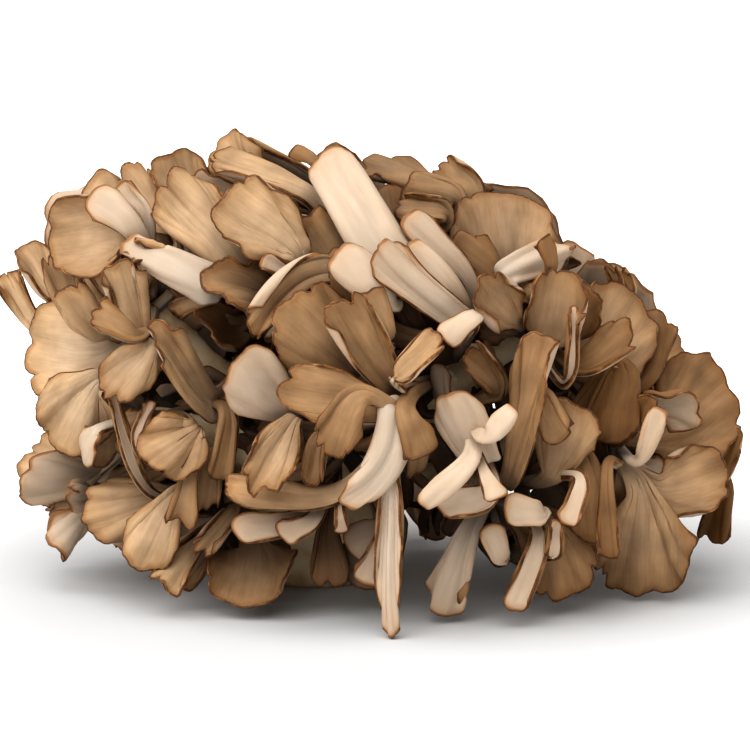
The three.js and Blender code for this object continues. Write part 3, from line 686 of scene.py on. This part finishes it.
LESSER_FRONDS = [
    lesser("left_narrow", "left_curl", (25, -22, -28), (13, -28, 4), 13, older=-0.05),
    lesser("dish_crumple", "left_dish_fan", (36, -14, 4), (18, -16, 23), 14, shows="pore", cup=40, turn=20),
    lesser(
        "dish_crumple_inner", "left_dish_fan", (40, -12, 10), (28, -8, 23), 8,
        shows="pore", cup=60, turn=-30,
    ),
    lesser("shoulder_lobe", "top_left_lobe", (-5, -10, -26), (-18, -2, -6), 17, older=-0.1),
    lesser("shoulder_back_lobe", "left_dish_fan", (29, 24, 4), (16, 34, 20), 15),
    lesser("flower_right_lobe", "flower_upper_lobe", (10, 14, -32), (10, -2, 2), 11, cup=40, turn=-20),
    lesser("flower_side_lobe", "flower_upper_lobe", (8, 8, -31), (-10, -6, -18), 11, cup=30),
    lesser("second_funnel", "dark_funnel", (11, 20, -25), (-5, 8, -15), 23, cup=100, older=0.35),
    lesser(
        "white_prong", "lower_left_fan", (26, -6, 13), (11, -12, 54), 7,
        shows="pore", cup=40, older=-0.2,
    ),
    lesser(
        "white_side_prong", "lower_left_fan", (23, -10, 30), (28, -16, 52), 5,
        shows="pore", cup=40, older=-0.2,
    ),
    lesser("crinkled_sheet", "left_lower_fan", (20, 0, 12), (14, -4, -8), 16, cup=30, older=0.15),
    lesser("curled_narrow", "lower_left_front_fan", (23, 4, 45), (18, -8, 16), 8, cup=70),
    lesser("dark_leaf", "lower_left_front_fan", (31, 8, 46), (27, 2, 21), 10, older=0.3),
    lesser("low_round_lobe", "floor_lobe", (28, -2, 30), (13, -18, 15), 11, cup=50, older=0.1),
    lesser("floor_side_lobe", "floor_lobe", (10, 6, 13), (-1, -8, 2), 14),
    lesser("tan_wedge", "great_cream_tongue", (14, -16, -54), (-7, -14, -25), 18, cup=10),
    lesser("tongue_spike", "great_cream_tongue", (1, 4, -11), (-12, 2, 0), 5, older=0.1),
    lesser("tongue_scale", "great_cream_tongue", (28, -32, -55), (6, -36, -34), 18, shows="pore", cup=-20),
    lesser("white_wedge", "dark_funnel", (36, 6, -1), (21, 0, 10), 7, shows="pore"),
    lesser("small_centre", "centre_tan_fan", (39, 4, -19), (33, -6, 5), 12, cup=10, older=-0.2),
    lesser("second_cream", "long_cream_tongue", (37, 26, -20), (11, 22, 9), 12, shows="pore", cup=-20),
    lesser("pale_tongue", "long_cream_tongue", (33, 18, -26), (14, 12, 0), 10, shows="pore", cup=-20),
    lesser(
        "tongue_foot", "long_cream_tongue", (39, 4, -28), (25, -6, -35), 11,
        shows="pore", cup=-30, older=-0.1,
    ),
    lesser("top_round_sheet", "top_back_sheet", (38, -24, -12), (17, -32, -3), 16, older=0.1),
    lesser("top_far_sheet", "top_back_sheet", (44, -20, -12), (30, -14, 3), 15, older=0.1),
    lesser("top_low_sheet", "top_back_sheet", (34, -30, -15), (14, -38, -9), 13, older=-0.2),
    lesser("crown_knob", "crown_fan", (-8, 8, -10), (-7, 10, 2), 9, cup=60, older=0.1),
    lesser("ribbed_sheet", "frilled_fan", (10, 14, -5), (-8, 12, 12), 17, older=0.1),
    lesser("knob_finger", "white_knob", (-11, -14, -8), (-13, -20, 6), 5, older=0.1),
    lesser("right_spike", "right_upper_sheet", (-9, -2, -2), (-11, 0, 13), 6, older=0.1),
    lesser("right_second_spike", "right_upper_sheet", (-4, 0, -3), (-6, 4, 10), 5, older=0.1),
    lesser("right_dark_leaf", "right_upper_sheet", (-23, -38, -21), (-3, -44, -4), 15, cup=30, older=0.2),
    lesser("right_edge_sheet", "right_upper_sheet", (0, -14, -35), (8, -4, -7), 15, cup=40, older=0.2),
    lesser("cream_ribbon", "brown_trumpet", (1, -4, -46), (4, -14, -12), 6, shows="pore", cup=50),
    lesser("curled_sheet", "cream_star", (20, 32, -3), (6, 20, 15), 15, cup=60, older=0.1),
    lesser("turned_tongue", "forked_frond", (23, 8, -35), (41, 2, -14), 13, cup=40),
    lesser("star_upper_arm", "cream_star", (15, 4, -14), (26, 0, -1), 10, shows="pore", cup=-20),
    lesser(
        "star_left_arm", "cream_star", (10, 2, -22), (-10, -6, -40), 11,
        shows="pore", cup=-20, older=-0.1,
    ),
    lesser("star_right_arm", "cream_star", (14, 8, -26), (20, -2, -38), 8, shows="pore", cup=-20),
    lesser("star_lower_leaf", "cream_star", (18, 12, -39), (-4, 2, -44), 15, shows="pore"),
    lesser("curl_above", "forked_frond", (21, 4, -48), (33, -2, -36), 14, cup=30),
    lesser("curl_below", "forked_frond", (27, 6, -44), (35, -2, -63), 12, cup=30),
    lesser("dark_shelf", "cream_star", (23, 28, -8), (-2, 22, 4), 15, older=0.35),
    lesser("roll_inside", "rolled_fan_lower", (6, 16, 42), (-6, 14, 19), 18, older=0.1),
    lesser("roll_shadow_leaf", "rolled_fan_lower", (-6, 28, 24), (-13, 22, 3), 11, older=0.2),
    lesser("under_tongue", "rolled_fan_lower", (-3, 28, -2), (-47, 20, 3), 14),
    lesser(
        "low_cream", "underside_fan", (-17, -18, 32), (-46, -30, 28), 13,
        shows="pore", cup=10, older=0.1,
    ),
    lesser("cream_oval", "underside_fan", (-13, -22, 33), (-28, -32, 26), 11, shows="pore", cup=10),
    lesser("deep_leaf", "underside_fan", (-9, 2, 22), (-7, -8, 0), 15, older=0.35),
    lesser("small_drop", "underside_fan", (-4, -30, 38), (-3, -36, 28), 5, shows="pore"),
    lesser("pale_side_fan", "underside_fan", (15, -10, 28), (0, -18, 18), 19, shows="pore", cup=-10),
    lesser(
        "bright_wedge", "underside_fan", (14, -16, 29), (6, -26, 5), 11,
        shows="pore", cup=-10, older=-0.2,
    ),
    lesser("trumpet_foot", "tall_trumpet", (-13, 2, -43), (-1, -8, -73), 9, shows="pore", cup=30),
    lesser("small_curl", "tall_trumpet", (-5, 4, -26), (6, -6, -42), 11, cup=50),
    lesser("cream_chip", "right_lobed_fan", (2, -4, -28), (-3, -14, -46), 9, shows="pore"),
    lesser("low_tan_wedge", "right_lobed_fan", (2, 4, -23), (8, -6, -57), 17, cup=-10, older=0.1),
    lesser("brown_sheet", "right_lobed_fan", (18, 26, 11), (13, 16, -19), 16, cup=30, older=0.3),
    lesser("crinkled_leaf", "lower_right_side_fan", (-43, -20, 16), (-30, -28, 34), 13, cup=40, older=0.2),
    lesser(
        "cream_triangle", "lower_right_side_fan", (-36, -32, 11), (-28, -40, 33), 8,
        shows="pore", cup=10,
    ),
    lesser("brown_roll", "lower_right_foot_fan", (-14, -24, 58), (-12, -34, 23), 7, cup=90, older=0.2),
    lesser("far_upper_strap", "right_great_fan", (-9, -10, -39), (5, -4, -19), 10, cup=40, older=0.2),
    lesser("far_lower_strap", "right_great_fan", (-5, -4, -35), (-6, 0, -67), 11, cup=40, older=0.3),
    lesser("foot_stalk", "foot_cream_frond", (39, 4, 33), (29, -6, 3), 11, shows="pore", older=-0.1),
    lesser("pale_lobe", "foot_cream_frond", (41, -2, 42), (25, -12, 47), 13, shows="pore"),
    lesser(
        "white_curl", "right_foot_fan", (-7, -12, 19), (-5, -20, 37), 8,
        shows="pore", cup=50, older=-0.2,
    ),
    lesser(
        "second_white_curl", "foot_cream_frond", (25, 2, 22), (19, -8, 39), 9,
        shows="pore", cup=40, older=-0.1,
    ),
    lesser("foot_tan", "foot_cream_frond", (17, 2, 34), (27, -6, 12), 11),
    lesser("shade_strap", "scalloped_fan", (31, 16, 19), (29, 6, -9), 10, older=0.2),
    lesser("crescent_lower", "crescent_frond", (14, 6, -3), (23, 0, 19), 11, cup=60, older=0.2),
]


front_names = [
    name for name in sorted(frame["nodes"]) if name != "stem" and not name.startswith("back_")
]
front = {
    name: middle_sheet(frame["nodes"][name], VIEW_WAY if name in CREAM_FRONDS else OPEN_WAY)
    for name in front_names
}
back = {name: through_the_mushroom(rows) for name, rows in front.items()}
room = FreeRoom(front.values())
for rows in front.values():
    room.take(rows)

skins = [cap_skin(), pore_face(), rim_flesh()]


def fill_with(items, cells):
    """What fills a piece with fronds, each given by its rows, its luck, the side it shows and its age."""
    def fill(bm):
        for rows, luck, shows, older in items:
            add_frond(bm, rows, cells, luck, tone_of(rows, luck, older), shows=shows)

    return fill


for name, rows in front.items():
    shows = "pore" if name in CREAM_FRONDS else "cap"
    fronds = [(rows, random.Random(name), shows, 0.0)]
    piece = new_piece(f"{name}_flesh", skins, fill_with(fronds, LARGE_CELLS))
    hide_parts(name)

# The lesser fronds of the front. Each springs from the foot of the one that it grows beside.
zones = {}


def zone_of(rows):
    """The piece of the front that a frond belongs to, by the place of its rim."""
    x, _, z = rows[-1, MID]
    side = "left" if x < low_corner.x / 3 else "right" if x > high_corner.x / 3 else "centre"
    return f"{'upper' if z > high_corner.z / 2 else 'lower'}_{side}"


for name, mother, neck, tip, width, shows, cup, turn, older in LESSER_FRONDS:
    foot, rim = front[mother][0, MID], front[mother][-1, MID]
    luck = random.Random(name)
    for step in range(NUDGES):
        shift = np.array((0, (step + 1) // 2 * (-1) ** step * NUDGE, 0))
        neck_place, tip_place = rim + neck * MM + shift, rim + tip * MM + shift
        rows = sketched(foot, neck_place, tip_place, width * MM, OPEN_WAY, cup=cup, turn=turn)
        if room.fits(rows, inside=False):
            room.take(rows)
            zones.setdefault(zone_of(rows), []).append((rows, luck, shows, older))
            break

# The back: each front frond's fellow, if it finds room, in the piece of the cluster that it belongs to.
clusters = [name for name in sorted(frame["nodes"]) if name.startswith("back_")]
cluster_middle = {name: (Vector(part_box(name)[0]) + Vector(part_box(name)[1])) / 2 for name in clusters}
members = {name: [] for name in clusters}


def home_of(rows):
    """The cluster of the back that a frond belongs to, by the place of its rim."""
    tip = Vector(rows[-2, MID])
    return min(clusters, key=lambda cluster: (cluster_middle[cluster] - tip).length)


for name, rows in back.items():
    luck = random.Random("back " + name)
    for attempt in range(BACK_TRIES):
        turn = math.radians(luck.uniform(-6, 6) * (1 + attempt))
        made = beside(rows, turn, math.radians(luck.uniform(-8, 4)), luck.uniform(0.95, 1.08), 1.05)
        if room.fits(made):
            break
    else:
        continue
    room.take(made)
    members[home_of(made)].append((name, made, luck, "cap"))

# Small fronds, beside and behind the large ones.
mothers = list(front.items()) + [("back " + n, m) for items in members.values() for n, m, *_ in items]
small = {}
for rank in range(SMALL_FRONDS_EACH):
    for name, rows in mothers:
        luck = random.Random(f"{name} small {rank}")
        behind = name.startswith("back ")
        for _ in range(SMALL_TRIES):
            swing = math.radians(luck.uniform(15, 75) * luck.choice((-1, 1)))
            lean = math.radians(luck.uniform(-45, 0) if behind else luck.uniform(-60, -12))
            size = luck.uniform(0.5, 0.95) if behind else luck.uniform(0.4, 0.75)
            made = beside(rows, swing, lean, size, luck.uniform(0.85, 1.3))
            if room.fits(made):
                room.take(made)
                small.setdefault(name, []).append((made, luck))
                break

for name, items in small.items():
    for made, luck in items:
        shows = luck.choice(("cap", "cap", "cap", "pore"))
        if name.startswith("back "):
            home = next(c for c, rows in members.items() if any(n == name[5:] for n, *_ in rows))
            members[home].append((name, made, luck, shows))
        else:
            zones.setdefault(zone_of(made), []).append((made, luck, shows, SMALL_OLDER))


# Fronds of the two ends and the back, wherever the others have left room for one that faces outwards.
def shell_frond(rank):
    """A frond that lies along the mushroom's outside: one of many, spread over all directions."""
    luck = random.Random(f"shell {rank}")
    height = 1 - SHELL_FALL * (rank + 0.5) / SHELL_FRONDS_TRIED
    turn_round = rank * math.pi * GOLDEN_STEP
    level = math.sqrt(1 - height**2)
    outwards = np.array((level * math.cos(turn_round), level * math.sin(turn_round), height))
    if outwards[1] < SHELL_FRONT:
        return None
    span = np.array((high_corner.x, high_corner.y, high_corner.z - HEART.z if height > 0 else HEART.z))
    top_lean = 1 - SHELL_TOP_LEAN * max(outwards[1], 0) * max(height, 0)
    neck = np.array(HEART) + outwards * span * luck.uniform(*SHELL_NECK) * top_lean
    foot = np.array(HEART) + outwards * span * SHELL_FOOT
    sideways = unit(np.cross((0, 0, 1), outwards))
    upwards = unit(np.cross(outwards, sideways))
    swing = luck.uniform(-1.2, 1.2)
    reach = luck.uniform(*SHELL_REACH_MM) * MM
    tip = neck + reach * (upwards * math.cos(swing) + sideways * math.sin(swing)) + outwards * SHELL_RISE
    width, cup = luck.uniform(*SHELL_WIDTH_MM) * MM, luck.uniform(-20, 50)
    return sketched(foot, neck, tip, width, outwards, cup=cup, turn=luck.uniform(-20, 20)), luck


for rank in range(SHELL_FRONDS_TRIED):
    grown = shell_frond(rank)
    if grown is None or not room.fits(grown[0]):
        continue
    made, luck = grown
    room.take(made)
    if made[-2, MID][1] > 0:
        members[home_of(made)].append(("shell", made, luck, "cap"))
    else:
        zones.setdefault(zone_of(made), []).append((made, luck, "cap", 0.0))


for name, items in members.items():
    fronds = [(rows, luck, shows, 0.0) for _, rows, luck, shows in items]
    piece = new_piece(f"{name}_flesh", skins, fill_with(fronds, SMALL_CELLS))
    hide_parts(name)
for zone, items in sorted(zones.items()):
    piece = new_piece(f"small_fronds_{zone}", skins, fill_with(items, SMALL_CELLS))


def grown_stem():
    """The stem and its branches, with their facets melted round and lumpy as grown flesh is."""
    bm = bmesh.new()
    bm.from_mesh(frame["nodes"]["stem"].data)
    bmesh.ops.remove_doubles(bm, verts=bm.verts, dist=1e-6)
    rough = bpy.data.meshes.new("stem_rough")
    bm.to_mesh(rough)
    bm.free()
    piece = bpy.data.objects.new("stem_grown", rough)
    bpy.context.scene.collection.objects.link(piece)
    remesh = piece.modifiers.new("remesh", "REMESH")
    remesh.mode = "VOXEL"
    remesh.voxel_size = STEM_VOXEL
    even = bpy.data.meshes.new_from_object(piece.evaluated_get(bpy.context.evaluated_depsgraph_get()))
    piece.modifiers.clear()
    bm = bmesh.new()
    bm.from_mesh(even)
    free = [vert for vert in bm.verts if vert.co.z > 2 * STEM_VOXEL]
    for _ in range(STEM_SMOOTHINGS):
        bmesh.ops.smooth_vert(bm, verts=free, factor=0.5, use_axis_x=True, use_axis_y=True, use_axis_z=True)
    bm.normal_update()
    for vert in free:
        lump = noise.noise(vert.co / STEM_LUMP) + 0.5 * noise.noise(vert.co * 2.7 / STEM_LUMP)
        vert.co += vert.normal * STEM_RELIEF * lump
    for vert in bm.verts:
        vert.co.z = max(vert.co.z, 0)
    for face in bm.faces:
        face.smooth = True
    bm.to_mesh(even)
    bm.free()
    even.materials.append(stem_flesh())
    piece.data = even
    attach(piece, "root")
    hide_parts("stem")


grown_stem()


# Stage

def soft_light(name, strength, spread, way_from):
    """A large soft light, so many degrees across as the mushroom sees it."""
    lamp = bpy.data.lights.new(name, "SUN")
    lamp.energy = strength
    lamp.angle = math.radians(spread)
    lit = bpy.data.objects.new(name, lamp)
    lit.rotation_euler = Vector(way_from).to_track_quat("Z", "Y").to_euler()
    bpy.context.scene.collection.objects.link(lit)


def floor_paint_with_painted_shadow():
    """Matt white paint, with a painted shadow: greyer where the mushroom stands."""
    paint = bpy.data.materials.new("floor_matt_white_painted_shadow")
    paint.use_nodes = True
    tree = paint.node_tree
    coordinates = add(tree, "ShaderNodeTexCoord").outputs["Object"]
    away = add(tree, "ShaderNodeVectorMath", {0: coordinates}, operation="LENGTH").outputs["Value"]
    share = add(
        tree, "ShaderNodeMapRange", {0: away, 1: FLOOR_PAINTED_SHADOW_WITHIN, 2: FLOOR_PAINTED_SHADOW_TO},
        interpolation_type="SMOOTHSTEP",
    ).outputs[0]
    # painted shadow: grey close around the mushroom, fading to white further out
    near, far = linear("#c9c9c9"), linear("#f8f8f8")
    colour = add(tree, "ShaderNodeMix", {0: share, 6: near, 7: far}, data_type="RGBA")
    shader = tree.nodes["Principled BSDF"]
    shader.inputs["Roughness"].default_value = 0.9
    tree.links.new(colour.outputs[2], shader.inputs["Base Color"])
    return paint


def studio():
    """A plain pale floor, in a white room."""
    bm = bmesh.new()
    bmesh.ops.create_grid(bm, x_segments=1, y_segments=1, size=FLOOR_HALF)
    mesh = bpy.data.meshes.new("floor")
    bm.to_mesh(mesh)
    bm.free()
    floor = bpy.data.objects.new("floor", mesh)
    bpy.context.scene.collection.objects.link(floor)
    mesh.materials.append(floor_paint_with_painted_shadow())
    soft_light("key", KEY_STRENGTH, KEY_SPREAD, KEY_FROM)
    soft_light("fill", FILL_STRENGTH, FILL_SPREAD, FILL_FROM)
    world = bpy.data.worlds.new("white_room")
    world.use_nodes = True
    tree = world.node_tree
    tree.nodes.clear()
    dim = add(tree, "ShaderNodeBackground", {"Color": linear("#ffffff"), "Strength": ROOM_LIGHT}).outputs[0]
    white = add(tree, "ShaderNodeBackground", {"Color": linear("#ffffff")}).outputs[0]
    seen = add(tree, "ShaderNodeLightPath").outputs["Is Camera Ray"]
    shown = add(tree, "ShaderNodeMixShader", {0: seen, 1: dim, 2: white}).outputs[0]
    add(tree, "ShaderNodeOutputWorld", {"Surface": shown})
    bpy.context.scene.world = world
    bpy.context.scene.view_settings.view_transform = "Standard"
    bpy.context.scene.view_settings.look = "High Contrast"


def camera():
    """The camera, in front of the mushroom and a little above it."""
    data = bpy.data.cameras.new("camera")
    data.sensor_width = 36
    data.lens = CAMERA_LENS
    eye = bpy.data.objects.new("camera", data)
    lift = math.radians(CAMERA_LIFT)
    target = Vector(CAMERA_AT)
    eye.location = target + Vector((0, -math.cos(lift), math.sin(lift))) * CAMERA_AWAY
    eye.rotation_euler = (target - eye.location).to_track_quat("-Z", "Y").to_euler()
    bpy.context.scene.collection.objects.link(eye)
    bpy.context.scene.camera = eye


studio()
camera()
